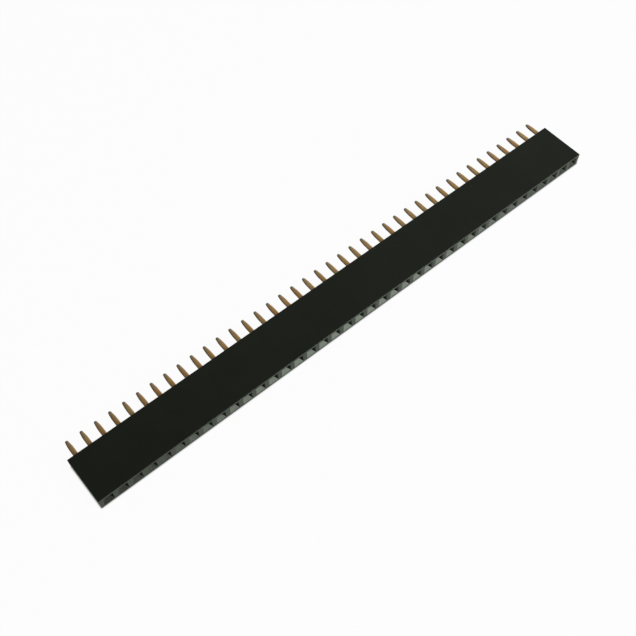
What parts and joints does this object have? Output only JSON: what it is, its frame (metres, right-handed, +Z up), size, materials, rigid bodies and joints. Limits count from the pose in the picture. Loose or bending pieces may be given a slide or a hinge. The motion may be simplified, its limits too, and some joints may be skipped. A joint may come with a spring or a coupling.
{
  "type": "female pin header strip",
  "caption": "Single-row female pin header: a long black plastic housing with square funnel sockets on one narrow side and flat solder tails on the other, lying on its broad side.",
  "frame": {"origin": "on the surface that the strip lies on, under the centre of the bounding box of the housing and its tails", "axes": "+X along the row of contacts; +Y from the mating face towards the solder tails; +Z up, across the housing's thickness, with the strip lying on one broad side"},
  "size_m": [0.102, 0.0116, 0.0025],
  "materials": {
    "housing": "satin black moulded thermoplastic",
    "contact": "thin gold-coloured plating over stamped bronze sheet, satin"
  },
  "bodies": {
    "root": {"housing": "housing", "contact_01": "contact", "contact_02": "contact", "contact_03": "contact", "contact_04": "contact", "contact_05": "contact", "contact_06": "contact", "contact_07": "contact", "contact_08": "contact", "contact_09": "contact", "contact_10": "contact", "contact_11": "contact", "contact_12": "contact", "contact_13": "contact", "contact_14": "contact", "contact_15": "contact", "contact_16": "contact", "contact_17": "contact", "contact_18": "contact", "contact_19": "contact", "contact_20": "contact", "contact_21": "contact", "contact_22": "contact", "contact_23": "contact", "contact_24": "contact", "contact_25": "contact", "contact_26": "contact", "contact_27": "contact", "contact_28": "contact", "contact_29": "contact", "contact_30": "contact", "contact_31": "contact", "contact_32": "contact", "contact_33": "contact", "contact_34": "contact", "contact_35": "contact", "contact_36": "contact", "contact_37": "contact", "contact_38": "contact", "contact_39": "contact", "contact_40": "contact"}
  },
  "joints": []
}
